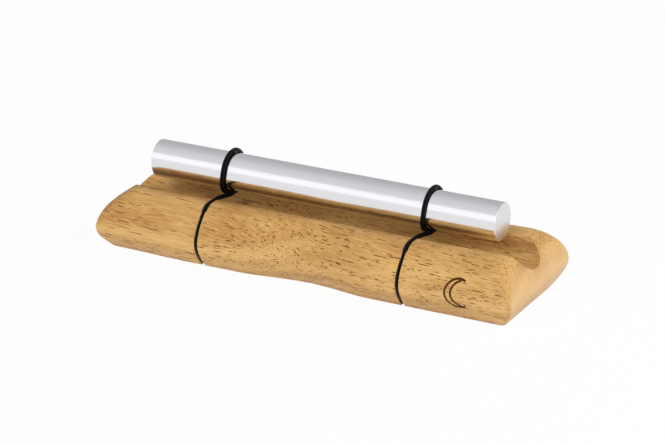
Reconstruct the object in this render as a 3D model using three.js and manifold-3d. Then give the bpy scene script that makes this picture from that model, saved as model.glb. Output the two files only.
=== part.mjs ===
// Energy chime: a tuned metal bar slung in two elastic cords over a hollowed hardwood block.
// Millimetres, +Z up, X along the bar, front at -Y.
// The origin is on the floor, under the middle of the block.

import * as THREE from "three";
import { mergeVertices } from "three/addons/utils/BufferGeometryUtils.js";
import Module from "manifold-3d";

const wasm = await Module();
wasm.setup();

// Chime bar
const BAR_DIAMETER = 19;
const BAR_LENGTH = 187.2;
const BAR_EDGE = 0.5;
const BAR_OFFSET = -1.4;

// Resonator block: overall size, then the edge profile that runs all round it
const BLOCK_LENGTH = 225.4;
const BLOCK_WIDTH = 68.4;
const BLOCK_HEIGHT = 30.4;
const CORNER_RADIUS = 1.2;
const FOOT_CORNER_RADIUS = 2.6;
const CROWN_CORNER_RADIUS = 4.5;
const WAIST_DEPTH = 2.95;
const WAIST_LENGTH = 70;
const WIDEST_HEIGHT = 13.7;
const FOOT_INSET = 7.45;
const FOOT_FLARE = 2.4;
const FOOT_RISE = 3.1;
const LOWER_PULL = 5.6;
const UPPER_PULL = 5.8;
const CROWN_PULL = 6.2;

// Resonance trough along the top of the block
const TROUGH_RADIUS = 11.8;
const TROUGH_DEPTH = 9.95;
const LIP_RADIUS = 6.6;

// Elastic cord, round where it is free and squeezed flat in its kerf
const CORD_DIAMETER = 2.2;
const CORD_KERF_HEIGHT = 2.8;
const CORD_CLEARANCE = 0.25;

// Saw kerfs that carry the cords round the block
const KERF_SPACING = 109.24;
const KERF_WIDTH = 2;
const KERF_RIDE = 1.7;
const SEAT_DROP = 0.5;
const SEAT_REACH = 10.7;
const RIDGE_ROLL = 1.5;

// Where the cord climbs out of the kerf, as shares of the way up the upper edge
const CORD_LIFTS = 0.5;
const CORD_SEATED = 0.85;

// Free strands from the ridges to the bar, leaning over to the turn between two distances from the middle
const STRAND_SAG = 0.1;
const LEAN_STARTS = 12;
const LEAN_ENDS = 3;
const JOIN_GAP = 0.3;

// Turn of each cord round the bar: its sideways step, and the shares of the turn where it is taken
const LOOP_SHIFT = 1.975;
const LOOP_GAP = 0.55;
const REAR_STEP = 0.38;
const REAR_STEP_ENDS = 0.5;
const FRONT_STEP_STARTS = 0.7;
const FRONT_STEP_ENDS = 0.92;

// Reef knot that closes each cord, in a pocket under the block
const KNOT_CORD = 1.7;
const KNOT_SLACK = 0.4;
const KNOT_HALF_LENGTH = 3.6;
const KNOT_LEG = 1.2;
const KNOT_LEAD = 1;
const KNOT_BIGHT = 4.7;
const KNOT_TIP = 2.8;
const KNOT_TAIL = 4;
const POCKET_ROOM = 0.65;

// Counts of facets
const BAR_SIDES = 64;
const CORD_SIDES = 8;
const LOWER_STEPS = 6;
const UPPER_STEPS = 12;
const SIDE_STEPS = 36;
const END_STEPS = 4;
const CORNER_STEPS = 4;
const ARC_STEPS = 12;
const RUN_STEPS = 20;
const RUN_SMOOTHING = 2;
const STRAND_STEPS = 24;
const LOOP_STEPS = 36;
const KNOT_LEG_STEPS = 6;
const KNOT_BIGHT_STEPS = 8;
const MERGE_DISTANCE = 1e-4;

// Sizes that follow from the ones above
const CORD_RADIUS = CORD_DIAMETER / 2;
const SEAT_HEIGHT = BLOCK_HEIGHT - SEAT_DROP;
const STRAND_HEIGHT = SEAT_HEIGHT - STRAND_SAG;
const CORD_KERF_WIDTH = KERF_WIDTH - 2 * CORD_CLEARANCE;
const LOOP_PITCH = CORD_DIAMETER + LOOP_GAP;
const LOOP_RADIUS = BAR_DIAMETER / 2 + CORD_CLEARANCE + CORD_RADIUS;
const BAR_HEIGHT = STRAND_HEIGHT + LOOP_RADIUS;
const TROUGH_AXIS = BLOCK_HEIGHT - TROUGH_DEPTH + TROUGH_RADIUS;
const LIP_HEIGHT = BLOCK_HEIGHT - LIP_RADIUS;
const LIP_HALF = Math.sqrt((TROUGH_RADIUS + LIP_RADIUS) ** 2 - (TROUGH_AXIS - LIP_HEIGHT) ** 2);
const RIDGE_EDGE = LIP_HALF - RIDGE_ROLL;
const CROWN_INSET = BLOCK_WIDTH / 2 - WAIST_DEPTH - LIP_HALF;
const SEAT_WIDTH = CORD_DIAMETER + 2 * CORD_CLEARANCE;
const KNOT_RISE = KNOT_CORD / 2 + KNOT_SLACK;
const POCKET_LENGTH = 2 * (KNOT_HALF_LENGTH + KNOT_TAIL + KNOT_CORD);
const POCKET_WIDTH = 2 * (KNOT_BIGHT + KNOT_CORD / 2 + POCKET_ROOM);
const POCKET_DEPTH = 2 * (KNOT_RISE + KNOT_CORD / 2 + POCKET_ROOM);
const ABOVE = 2 * BLOCK_HEIGHT;

const point = (x, y) => new THREE.Vector2(x, y);

// Booleans

function toSolid(geometry) {
  const bare = geometry.clone();
  bare.deleteAttribute("normal");
  bare.deleteAttribute("uv");
  const merged = mergeVertices(bare, MERGE_DISTANCE);
  return new wasm.Manifold(
    new wasm.Mesh({
      numProp: 3,
      vertProperties: merged.attributes.position.array,
      triVerts: new Uint32Array(merged.index.array),
    }),
  );
}

function toGeometry(solid) {
  const mesh = solid.getMesh();
  const geometry = new THREE.BufferGeometry();
  geometry.setAttribute("position", new THREE.BufferAttribute(mesh.vertProperties, 3));
  geometry.setIndex(new THREE.BufferAttribute(mesh.triVerts, 1));
  geometry.computeVertexNormals();
  return geometry;
}

// A shape drawn in (y, z), extruded along X and centred on x.
function plateAlongX(shape, x, width) {
  const plate = new THREE.ExtrudeGeometry(shape, {
    depth: width,
    bevelEnabled: false,
    curveSegments: ARC_STEPS,
  });
  plate.translate(0, 0, -width / 2);
  const axes = new THREE.Matrix4().makeBasis(
    new THREE.Vector3(0, 1, 0),
    new THREE.Vector3(0, 0, 1),
    new THREE.Vector3(1, 0, 0),
  );
  plate.applyMatrix4(axes.setPosition(x, 0, 0));
  return toSolid(plate);
}

// Edge profile of the block, as inset from its widest outline against height

const lowerEdge = new THREE.CubicBezierCurve(
  point(FOOT_INSET, 0),
  point(FOOT_INSET - FOOT_FLARE, FOOT_RISE),
  point(0, WIDEST_HEIGHT - LOWER_PULL),
  point(0, WIDEST_HEIGHT),
);
const upperEdge = new THREE.CubicBezierCurve(
  point(0, WIDEST_HEIGHT),
  point(0, WIDEST_HEIGHT + UPPER_PULL),
  point(CROWN_INSET - CROWN_PULL, BLOCK_HEIGHT),
  point(CROWN_INSET, BLOCK_HEIGHT),
);

function waist(x) {
  const share = Math.min(1, Math.abs(x) / (WAIST_LENGTH / 2));
  return (WAIST_DEPTH / 2) * (1 + Math.cos(Math.PI * share));
}

// Radius of the upright corners, least where the block is widest.
function cornerRadius(height) {
  const low = THREE.MathUtils.smoothstep(height, 0, WIDEST_HEIGHT);
  const high = THREE.MathUtils.smoothstep(height, WIDEST_HEIGHT, BLOCK_HEIGHT);
  const radius = THREE.MathUtils.lerp(FOOT_CORNER_RADIUS, CORNER_RADIUS, low);
  return THREE.MathUtils.lerp(radius, CROWN_CORNER_RADIUS, high);
}

// Plan outline of the block at one inset, counter-clockwise seen from above.
function outline(inset, radius) {
  const halfLength = BLOCK_LENGTH / 2 - inset;
  const halfWidth = BLOCK_WIDTH / 2 - inset;
  const sideEnd = halfLength - radius;
  const endEnd = halfWidth - radius;
  const half = [];
  for (let i = 0; i <= SIDE_STEPS; i++) {
    const x = THREE.MathUtils.lerp(-sideEnd, sideEnd, i / SIDE_STEPS);
    half.push(point(x, -halfWidth + waist(x)));
  }
  const corner = (y, from) => {
    for (let i = 1; i < CORNER_STEPS; i++) {
      const turn = from + ((Math.PI / 2) * i) / CORNER_STEPS;
      half.push(point(sideEnd + radius * Math.cos(turn), y + radius * Math.sin(turn)));
    }
  };
  corner(-endEnd, -Math.PI / 2);
  for (let i = 0; i <= END_STEPS; i++) {
    half.push(point(halfLength, THREE.MathUtils.lerp(-endEnd, endEnd, i / END_STEPS)));
  }
  corner(endEnd, 0);
  const otherHalf = half.map((p) => point(-p.x, -p.y));
  return [...half, ...otherHalf];
}

// Closed skin over rings of equal length, with a fan at each end.
function skin(rings) {
  const count = rings[0].length;
  const middle = (ring) => {
    const sum = ring.reduce((total, p) => total.add(p), new THREE.Vector3());
    return sum.divideScalar(ring.length);
  };
  const vertices = [...rings.flat(), middle(rings[0]), middle(rings[rings.length - 1])];
  const startFan = rings.length * count;
  const endFan = startFan + 1;
  const lastRing = startFan - count;
  const faces = [];
  for (let j = 0; j < count; j++) {
    const next = (j + 1) % count;
    for (let i = 0; i < rings.length - 1; i++) {
      const low = i * count;
      const high = low + count;
      faces.push(low + j, low + next, high + next, low + j, high + next, high + j);
    }
    faces.push(startFan, next, j, endFan, lastRing + j, lastRing + next);
  }
  const geometry = new THREE.BufferGeometry().setFromPoints(vertices);
  geometry.setIndex(faces);
  geometry.computeVertexNormals();
  return geometry;
}

// Kerf: the block's half section at the kerf, and the cord's depth under it

// Point and inward direction on the half section: the foot at share 0, the flank at 1, the crown at 2.
function sectionAt(share, kerfX) {
  const curve = share < 1 ? lowerEdge : upperEdge;
  const along = share < 1 ? share : share - 1;
  const edge = curve.getPoint(along);
  const heading = curve.getTangent(along);
  return {
    at: point(BLOCK_WIDTH / 2 - waist(kerfX) - edge.x, edge.y),
    inward: point(-heading.y, -heading.x),
  };
}

// How far the cord has risen from the kerf, 0 on the flank, to its seat on the crown, 1.
function lift(share) {
  return THREE.MathUtils.smoothstep(share - 1, CORD_LIFTS, CORD_SEATED);
}

// Section sizes of the cord as half width and half height, between squeezed and round.
function cordHalves(round, diameter = CORD_DIAMETER) {
  return [
    THREE.MathUtils.lerp(CORD_KERF_WIDTH, diameter, round) / 2,
    THREE.MathUtils.lerp(CORD_KERF_HEIGHT, diameter, round) / 2,
  ];
}

function buried(share, kerfX, extra) {
  const { at, inward } = sectionAt(share, kerfX);
  const depth = THREE.MathUtils.lerp(KERF_RIDE, SEAT_DROP, lift(share)) + extra;
  return at.addScaledVector(inward, depth);
}

// Floor of the kerf on one half section, from the underside up to the crown.
function kerfFloor(kerfX) {
  const depth = KERF_RIDE + CORD_KERF_HEIGHT / 2 + CORD_CLEARANCE;
  const steps = 2 * UPPER_STEPS;
  const floor = [];
  for (let i = 0; i <= steps; i++) {
    const share = (2 * i) / steps;
    const halfHeight = cordHalves(lift(share))[1];
    const p = buried(share, kerfX, halfHeight + CORD_CLEARANCE);
    if (p.y > depth + CORD_CLEARANCE) floor.push(p);
  }
  const foot = floor[0].clone();
  const slope = floor[1].clone().sub(foot);
  foot.addScaledVector(slope, (depth - foot.y) / slope.y);
  return [foot, ...floor];
}

// What the saw takes away round the section, and the wider seats filed over the ridges.
function kerfCut(kerfX) {
  const floor = kerfFloor(kerfX);
  const mirrored = floor.map((p) => point(-p.x, p.y)).reverse();
  const reach = BLOCK_WIDTH;
  const ring = new THREE.Shape([
    point(-reach, -ABOVE),
    point(reach, -ABOVE),
    point(reach, ABOVE),
    point(-reach, ABOVE),
  ]);
  ring.holes.push(new THREE.Path([...floor, ...mirrored]));
  let cut = plateAlongX(ring, kerfX, KERF_WIDTH);
  const crown = floor[floor.length - 1];
  const outer = RIDGE_EDGE + SEAT_REACH;
  for (const side of [-1, 1]) {
    const seat = floor.filter((p) => p.x < outer && p.y > WIDEST_HEIGHT);
    const first = seat[0];
    const shape = new THREE.Shape([
      point(side * first.x, ABOVE),
      ...seat.map((p) => point(side * p.x, p.y)),
      point(0, crown.y),
      point(0, ABOVE),
    ]);
    cut = cut.add(plateAlongX(shape, kerfX, SEAT_WIDTH));
  }
  return cut;
}

function troughCut() {
  const turn = Math.atan2(TROUGH_AXIS - LIP_HEIGHT, LIP_HALF);
  const shape = new THREE.Shape();
  shape.moveTo(-LIP_HALF, ABOVE);
  shape.absarc(-LIP_HALF, LIP_HEIGHT, LIP_RADIUS, Math.PI / 2, turn, true);
  shape.absarc(0, TROUGH_AXIS, TROUGH_RADIUS, Math.PI + turn, 2 * Math.PI - turn, false);
  shape.absarc(LIP_HALF, LIP_HEIGHT, LIP_RADIUS, Math.PI - turn, Math.PI / 2, true);
  shape.lineTo(LIP_HALF, ABOVE);
  return plateAlongX(shape, 0, 2 * BLOCK_LENGTH);
}

function knotPocket(kerfX) {
  const half = POCKET_WIDTH / 2;
  const straight = POCKET_LENGTH / 2 - half;
  const shape = new THREE.Shape();
  shape.absarc(kerfX, straight, half, 0, Math.PI, false);
  shape.absarc(kerfX, -straight, half, Math.PI, 2 * Math.PI, false);
  const pocket = new THREE.ExtrudeGeometry(shape, {
    depth: 2 * POCKET_DEPTH,
    bevelEnabled: false,
    curveSegments: ARC_STEPS,
  });
  pocket.translate(0, 0, -POCKET_DEPTH);
  return toSolid(pocket);
}

function resonatorBlock(kerfs) {
  const lower = lowerEdge.getPoints(LOWER_STEPS);
  const upper = upperEdge.getPoints(UPPER_STEPS).slice(1);
  const rings = [...lower, ...upper].map(({ x: inset, y: height }) =>
    outline(inset, cornerRadius(height)).map((p) => new THREE.Vector3(p.x, p.y, height)),
  );
  let solid = toSolid(skin(rings)).subtract(troughCut());
  for (const kerfX of kerfs) {
    solid = solid.subtract(kerfCut(kerfX)).subtract(knotPocket(kerfX));
  }
  return toGeometry(solid);
}

function chimeBar() {
  const radius = BAR_DIAMETER / 2;
  const half = BAR_LENGTH / 2;
  const profile = [
    point(0, -half),
    point(radius - BAR_EDGE, -half),
    point(radius, -half + BAR_EDGE),
    point(radius, half - BAR_EDGE),
    point(radius - BAR_EDGE, half),
    point(0, half),
  ];
  const bar = new THREE.LatheGeometry(profile, BAR_SIDES);
  bar.rotateZ(-Math.PI / 2);
  return toGeometry(toSolid(bar));
}

// Cords

// Tube through stations of {at, halves}, its section carried along without twisting, level with X at first.
function cordTube(stations) {
  const along = stations.map((s, i) => {
    const before = stations[Math.max(0, i - 1)].at;
    const after = stations[Math.min(stations.length - 1, i + 1)].at;
    return after.clone().sub(before).normalize();
  });
  const side = new THREE.Vector3(1, 0, 0);
  const rings = stations.map(({ at, halves }, i) => {
    side.addScaledVector(along[i], -side.dot(along[i])).normalize();
    const up = new THREE.Vector3().crossVectors(along[i], side);
    const ring = [];
    for (let k = 0; k < CORD_SIDES; k++) {
      const turn = (2 * Math.PI * (k + 0.5)) / CORD_SIDES;
      const p = at.clone().addScaledVector(side, halves[0] * Math.cos(turn));
      ring.push(p.addScaledVector(up, halves[1] * Math.sin(turn)));
    }
    return ring;
  });
  return skin(rings);
}

// Half of the reef knot: the leg in from the kerf, the bight and the tail, at its own x and z.
// front is 1 for the half that comes from -Y and -1 for the other, which dives where this one climbs.
function knotHalf(kerfX, front) {
  const middle = POCKET_DEPTH / 2;
  const place = (along, across, rise) =>
    new THREE.Vector3(kerfX + across, front * along, middle - front * rise);
  const climb = (along) => {
    const held = THREE.MathUtils.clamp(along, -KNOT_HALF_LENGTH, KNOT_HALF_LENGTH);
    return -KNOT_RISE * Math.cos((Math.PI * held) / KNOT_HALF_LENGTH);
  };
  const spread = (along) => {
    const share = THREE.MathUtils.smoothstep(along, -KNOT_HALF_LENGTH, KNOT_HALF_LENGTH / 2);
    return THREE.MathUtils.lerp(KNOT_LEG, KNOT_BIGHT, share);
  };
  const legEnd = KNOT_HALF_LENGTH / 2;
  const leg = [];
  for (let i = 0; i <= KNOT_LEG_STEPS; i++) {
    const along = THREE.MathUtils.lerp(-KNOT_HALF_LENGTH - KNOT_LEAD, legEnd, i / KNOT_LEG_STEPS);
    leg.push([along, spread(along)]);
  }
  const bight = [];
  for (let i = 1; i < KNOT_BIGHT_STEPS; i++) {
    const turn = (Math.PI * i) / KNOT_BIGHT_STEPS;
    bight.push([legEnd + KNOT_TIP * Math.sin(turn), KNOT_BIGHT * Math.cos(turn)]);
  }
  const back = leg.map(([along, across]) => [along, -across]).reverse();
  const tail = [[-KNOT_HALF_LENGTH - KNOT_TAIL, -KNOT_LEG]];
  return [...leg, ...bight, ...back, ...tail].map(([along, across]) => place(along, across, climb(along)));
}

// The cord's hidden run from one ridge down its flank and under the block, into its half of the knot.
function cordRun(kerfX, front) {
  const on = (p) => new THREE.Vector3(kerfX, -front * p.x, p.y);
  const route = [];
  const add = (at, round, diameter) => route.push({ at, halves: cordHalves(round, diameter) });
  add(on(point(RIDGE_EDGE, SEAT_HEIGHT)), 1);
  for (let i = 0; i <= RUN_STEPS; i++) {
    const share = 2 - (2 * i) / RUN_STEPS;
    const p = buried(share, kerfX, 0);
    if (p.y > KERF_RIDE + CORD_RADIUS) add(on(p), lift(share));
  }
  const last = route[route.length - 1].at;
  const footY = Math.abs(last.y) - CORD_DIAMETER;
  const pocketY = POCKET_LENGTH / 2;
  for (const y of [footY, footY - CORD_DIAMETER, (footY + pocketY) / 2, pocketY]) {
    add(on(point(y, KERF_RIDE)), 0);
  }
  for (const at of knotHalf(kerfX, front)) add(at, 1, KNOT_CORD);
  return smoothed(route, RUN_SMOOTHING);
}

// Extra stations between the given ones, on a curve through them all.
function smoothed(stations, share) {
  const curve = new THREE.CatmullRomCurve3(stations.map((s) => s.at));
  const steps = (stations.length - 1) * share;
  const made = [];
  for (let i = 0; i <= steps; i++) {
    const low = Math.min(stations.length - 2, Math.floor(i / share));
    const mix = i / share - low;
    const from = stations[low].halves;
    const to = stations[low + 1].halves;
    made.push({
      at: curve.getPoint(i / steps),
      halves: from.map((half, k) => THREE.MathUtils.lerp(half, to[k], mix)),
    });
  }
  return made;
}

// One turn round the bar, from under it up behind, over the top and down in front.
function loopStations(kerfX) {
  const start = kerfX + LOOP_SHIFT + LOOP_PITCH / 2;
  const made = [];
  for (let i = 0; i <= LOOP_STEPS; i++) {
    const share = i / LOOP_STEPS;
    const turn = 2 * Math.PI * share;
    const behind = THREE.MathUtils.smoothstep(share, 0, REAR_STEP_ENDS);
    const before = THREE.MathUtils.smoothstep(share, FRONT_STEP_STARTS, FRONT_STEP_ENDS);
    const x = start - LOOP_PITCH * (REAR_STEP * behind + (1 - REAR_STEP) * before);
    made.push({
      at: new THREE.Vector3(x, LOOP_RADIUS * Math.sin(turn), BAR_HEIGHT - LOOP_RADIUS * Math.cos(turn)),
      halves: cordHalves(1),
    });
  }
  return made;
}

// Free strand from the ridge to the turn under the bar.
// The front strand joins the start of the turn, and the rear strand its end.
function strandStations(kerfX, front) {
  const loopX = kerfX + LOOP_SHIFT + (front * LOOP_PITCH) / 2;
  const made = [];
  for (let i = 0; i <= STRAND_STEPS; i++) {
    const y = THREE.MathUtils.lerp(RIDGE_EDGE - JOIN_GAP, JOIN_GAP, i / STRAND_STEPS);
    const lean = 1 - THREE.MathUtils.smoothstep(y, LEAN_ENDS, LEAN_STARTS);
    const x = THREE.MathUtils.lerp(kerfX, loopX, lean);
    made.push({
      at: new THREE.Vector3(x, -front * y, SEAT_HEIGHT - STRAND_SAG * lean),
      halves: cordHalves(1),
    });
  }
  return made;
}

// Least clear gap of a wound cord to itself, between points further apart along it than a quarter turn.
function leastGap(stations, diameter, apart) {
  let least = Infinity;
  stations.forEach((a, i) => {
    stations.slice(i + apart).forEach((b) => {
      least = Math.min(least, a.at.distanceTo(b.at) - diameter);
    });
  });
  return least;
}

// Least clear gap between the two halves of a knot.
function leastGapBetween(one, other, diameter) {
  const from = (a) => Math.min(...other.map((b) => a.at.distanceTo(b.at)));
  return Math.min(...one.map(from)) - diameter;
}

// Assembly

const wood = new THREE.MeshStandardMaterial({ color: 0xc99a5b, roughness: 0.55, metalness: 0 });
const metal = new THREE.MeshStandardMaterial({ color: 0xd8d9de, roughness: 0.15, metalness: 1 });
const elastic = new THREE.MeshStandardMaterial({ color: 0x15151a, roughness: 0.6, metalness: 0 });

const chime = new THREE.Group();

function addPiece(name, geometry, material) {
  const mesh = new THREE.Mesh(geometry, material);
  mesh.name = name;
  chime.add(mesh);
  return mesh;
}

const kerfs = { left: BAR_OFFSET - KERF_SPACING / 2, right: BAR_OFFSET + KERF_SPACING / 2 };

addPiece("resonator_block", resonatorBlock(Object.values(kerfs)), wood);
addPiece("chime_bar", chimeBar(), metal).position.set(BAR_OFFSET, 0, BAR_HEIGHT);

for (const [side, kerfX] of Object.entries(kerfs)) {
  const loop = loopStations(kerfX);
  addPiece(`${side}_bar_loop`, cordTube(loop), elastic);
  const runs = { front: cordRun(kerfX, 1), rear: cordRun(kerfX, -1) };
  for (const [end, run] of Object.entries(runs)) {
    const front = end === "front" ? 1 : -1;
    addPiece(`${side}_${end}_strand`, cordTube(strandStations(kerfX, front)), elastic);
    addPiece(`${side}_${end}_run`, cordTube(run), elastic);
  }
  const loopGap = leastGap(loop, CORD_DIAMETER, LOOP_STEPS / 4);
  const knotGap = leastGapBetween(runs.front, runs.rear, KNOT_CORD);
  console.log(`${side} loop: least gap to itself ${loopGap.toFixed(2)} mm`);
  console.log(`${side} knot: least gap ${knotGap.toFixed(2)} mm between its halves`);
}

export default chime;
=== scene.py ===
# Energy chime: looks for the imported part. Metres, +Z up, X along the bar, front at -Y.
import math

import bmesh
import bpy
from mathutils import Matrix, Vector


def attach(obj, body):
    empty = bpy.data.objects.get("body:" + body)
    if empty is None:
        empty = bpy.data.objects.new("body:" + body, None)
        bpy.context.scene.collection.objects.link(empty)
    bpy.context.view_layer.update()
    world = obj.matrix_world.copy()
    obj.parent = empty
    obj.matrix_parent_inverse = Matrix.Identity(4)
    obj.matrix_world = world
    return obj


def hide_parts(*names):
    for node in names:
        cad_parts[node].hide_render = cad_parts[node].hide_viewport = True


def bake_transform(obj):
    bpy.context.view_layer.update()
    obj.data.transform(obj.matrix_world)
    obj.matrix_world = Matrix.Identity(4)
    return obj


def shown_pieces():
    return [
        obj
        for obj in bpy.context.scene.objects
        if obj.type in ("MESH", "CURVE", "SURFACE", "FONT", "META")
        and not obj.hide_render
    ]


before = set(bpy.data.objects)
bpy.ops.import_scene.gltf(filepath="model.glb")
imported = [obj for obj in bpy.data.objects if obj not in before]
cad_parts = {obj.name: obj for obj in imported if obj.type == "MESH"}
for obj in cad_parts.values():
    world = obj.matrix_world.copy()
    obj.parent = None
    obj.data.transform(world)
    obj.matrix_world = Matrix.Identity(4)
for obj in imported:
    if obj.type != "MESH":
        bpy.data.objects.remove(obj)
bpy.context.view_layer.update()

MM = 0.001
FINE = 0.001 * MM
HAIR = 0.01 * MM
CLOSE = 0.02 * MM

# Sizes of the part, as its source gives them
BAR_RADIUS = 9.5 * MM
BAR_LENGTH = 187.2 * MM
BAR_EDGE = 0.5 * MM
BAR_OFFSET = -1.4 * MM
BAR_HEIGHT = 40.65 * MM
BLOCK_LENGTH = 225.4 * MM
BLOCK_WIDTH = 68.4 * MM
BLOCK_HEIGHT = 30.4 * MM
CORNER_RADIUS = 1.2 * MM
FOOT_CORNER_RADIUS = 2.6 * MM
CROWN_CORNER_RADIUS = 4.5 * MM
WAIST_DEPTH = 2.95 * MM
WAIST_REACH = 35 * MM
WIDEST_HEIGHT = 13.7 * MM
FOOT_INSET = 7.45 * MM
FOOT_FLARE = 2.4 * MM
FOOT_RISE = 3.1 * MM
LOWER_PULL = 5.6 * MM
UPPER_PULL = 5.8 * MM
CROWN_PULL = 6.2 * MM
TROUGH_RADIUS = 11.8 * MM
TROUGH_DEPTH = 9.95 * MM
LIP_RADIUS = 6.6 * MM
CORD_DIAMETER = 2.2 * MM
CORD_KERF_HEIGHT = 2.8 * MM
CORD_CLEARANCE = 0.25 * MM
KERFS = {"left": -56.02 * MM, "right": 53.22 * MM}
KERF_WIDTH = 2 * MM
SNUG = 0.05 * MM
KERF_RIDE = 1.7 * MM
SEAT_DROP = 0.5 * MM
SEAT_REACH = 10.7 * MM
RIDGE_ROLL = 1.5 * MM
CORD_LIFTS = 0.5
CORD_SEATED = 0.85
LEAN_STARTS = 12 * MM
LEAN_ENDS = 3 * MM
LOOP_SHIFT = 1.975 * MM
LOOP_PITCH = 2.75 * MM
REAR_STEP = 0.38
REAR_STEP_ENDS = 0.5
FRONT_STEP_STARTS = 0.7
FRONT_STEP_ENDS = 0.92
KNOT_CORD = 1.7 * MM
KNOT_HALF_LENGTH = 3.6 * MM
KNOT_RISE = 1.25 * MM
KNOT_LEG = 1.2 * MM
KNOT_LEAD = 1 * MM
KNOT_BIGHT = 4.7 * MM
KNOT_TIP = 2.8 * MM
KNOT_TAIL = 4 * MM
POCKET_LENGTH = 18.6 * MM
POCKET_WIDTH = 12.4 * MM
POCKET_DEPTH = 5.5 * MM

# Sizes that follow from them
CORD_RADIUS = CORD_DIAMETER / 2
SEAT_HEIGHT = BLOCK_HEIGHT - SEAT_DROP
SEAT_WIDTH = CORD_DIAMETER + 2 * CORD_CLEARANCE
LOOP_RADIUS = BAR_RADIUS + SNUG + CORD_RADIUS
STRAND_HEIGHT = BAR_HEIGHT - LOOP_RADIUS
CORD_KERF_WIDTH = KERF_WIDTH - 2 * SNUG
TROUGH_AXIS = BLOCK_HEIGHT - TROUGH_DEPTH + TROUGH_RADIUS
LIP_HEIGHT = BLOCK_HEIGHT - LIP_RADIUS
LIP_HALF = math.sqrt((TROUGH_RADIUS + LIP_RADIUS) ** 2 - (TROUGH_AXIS - LIP_HEIGHT) ** 2)
RIDGE_EDGE = LIP_HALF - RIDGE_ROLL
CROWN_INSET = BLOCK_WIDTH / 2 - WAIST_DEPTH - LIP_HALF
KERF_DEPTH = KERF_RIDE + CORD_KERF_HEIGHT / 2 + CORD_CLEARANCE
SEAT_DEPTH = SEAT_DROP + CORD_RADIUS + CORD_CLEARANCE


# Hand tools

def mix(a, b, share):
    return a + (b - a) * share


def smoothstep(value, low, high):
    share = min(1, max(0, (value - low) / (high - low)))
    return share * share * (3 - 2 * share)


def select_only(piece):
    bpy.ops.object.select_all(action="DESELECT")
    bpy.context.view_layer.objects.active = piece
    piece.select_set(True)


def edit(piece):
    """Edit mode on one piece, all of it selected."""
    select_only(piece)
    bpy.ops.object.mode_set(mode="EDIT")
    bpy.ops.mesh.select_all(action="SELECT")


def done():
    bpy.ops.object.mode_set(mode="OBJECT")


def pick(piece, kind, test):
    """Selects the vertices, edges or faces that have every corner where the test says."""
    bpy.ops.mesh.select_mode(type=kind)
    bpy.ops.mesh.select_all(action="DESELECT")
    mesh = bmesh.from_edit_mesh(piece.data)
    found = {"VERT": mesh.verts, "EDGE": mesh.edges, "FACE": mesh.faces}[kind]
    for item in found:
        corners = [item] if kind == "VERT" else item.verts
        if all(test(v.co) for v in corners):
            item.select_set(True)
    mesh.select_flush_mode()
    bmesh.update_edit_mesh(piece.data)


def pick_edges(piece, test):
    """Selects the edges whose two ends the test accepts together."""
    bpy.ops.mesh.select_mode(type="EDGE")
    bpy.ops.mesh.select_all(action="DESELECT")
    mesh = bmesh.from_edit_mesh(piece.data)
    for edge in mesh.edges:
        edge.select_set(test(edge.verts[0].co, edge.verts[1].co))
    mesh.select_flush_mode()
    bmesh.update_edit_mesh(piece.data)


def near(a, b):
    return abs(a - b) < CLOSE


def new_piece(name):
    """The object that was just added, under its own name."""
    piece = bpy.context.active_object
    piece.name = name
    piece.data.name = name
    return piece


def copy_of(piece, name):
    twin = piece.copy()
    twin.data = piece.data.copy()
    twin.name = name
    bpy.context.scene.collection.objects.link(twin)
    return twin


def add_modifier(piece, kind, **settings):
    """Adds a modifier and applies it at once."""
    select_only(piece)
    modifier = piece.modifiers.new(kind.lower(), kind)
    for name, value in settings.items():
        setattr(modifier, name, value)
    bpy.ops.object.modifier_apply(modifier=modifier.name)


def carve(piece, cutter):
    """Takes the cutter out of a piece, and the cutter away."""
    add_modifier(
        piece,
        "BOOLEAN",
        operation="DIFFERENCE",
        object=cutter,
        solver="EXACT",
        material_mode="TRANSFER",
    )
    bpy.data.objects.remove(cutter)


def settle(piece):
    """Applies a piece's place to its mesh, so that its object sits at the origin."""
    select_only(piece)
    bpy.ops.object.transform_apply(location=True, rotation=True, scale=True)


# Resonator block

def bezier(corners, share):
    rest = 1 - share
    weights = (rest**3, 3 * rest**2 * share, 3 * rest * share**2, share**3)
    return [sum(w * c[axis] for w, c in zip(weights, corners)) for axis in (0, 1)]


LOWER_EDGE = [
    (FOOT_INSET, 0),
    (FOOT_INSET - FOOT_FLARE, FOOT_RISE),
    (0, WIDEST_HEIGHT - LOWER_PULL),
    (0, WIDEST_HEIGHT),
]
UPPER_EDGE = [
    (0, WIDEST_HEIGHT),
    (0, WIDEST_HEIGHT + UPPER_PULL),
    (CROWN_INSET - CROWN_PULL, BLOCK_HEIGHT),
    (CROWN_INSET, BLOCK_HEIGHT),
]
LOWER_STEPS = 10
UPPER_STEPS = 26
CORNER_STEPS = 6
SIDE_CUTS = 99

# Hand sanding of the blank, by a lattice with columns from the left and levels from the floor
CAGE_COLUMNS = 12
CAGE_LEVELS = 5
FOOT_DRAWN_IN = {0: 2.5 * MM, 1: 1.5 * MM, 5: 1.5 * MM, 6: 1.5 * MM}
LEFT_END_FILLED = (8.4 * MM, 3 * MM, 0.1 * MM, 0.8 * MM)
RIGHT_FOOT_FILLED = 1.2 * MM
REAR_SHOULDER_FILLED = {CAGE_COLUMNS - 2: 2 * MM, CAGE_COLUMNS - 1: 3 * MM}

# Cutters
TROUGH_STEPS = 24
LIP_STEPS = 10
POCKET_SIDES = 64
FLOOR_SKIN = 0.05 * MM
SECTION_GAP = 0.6 * MM
KERF_OVERSHOOT = (1, 1.15, 1.3)
CROWN_EASE = 7 * MM


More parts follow.
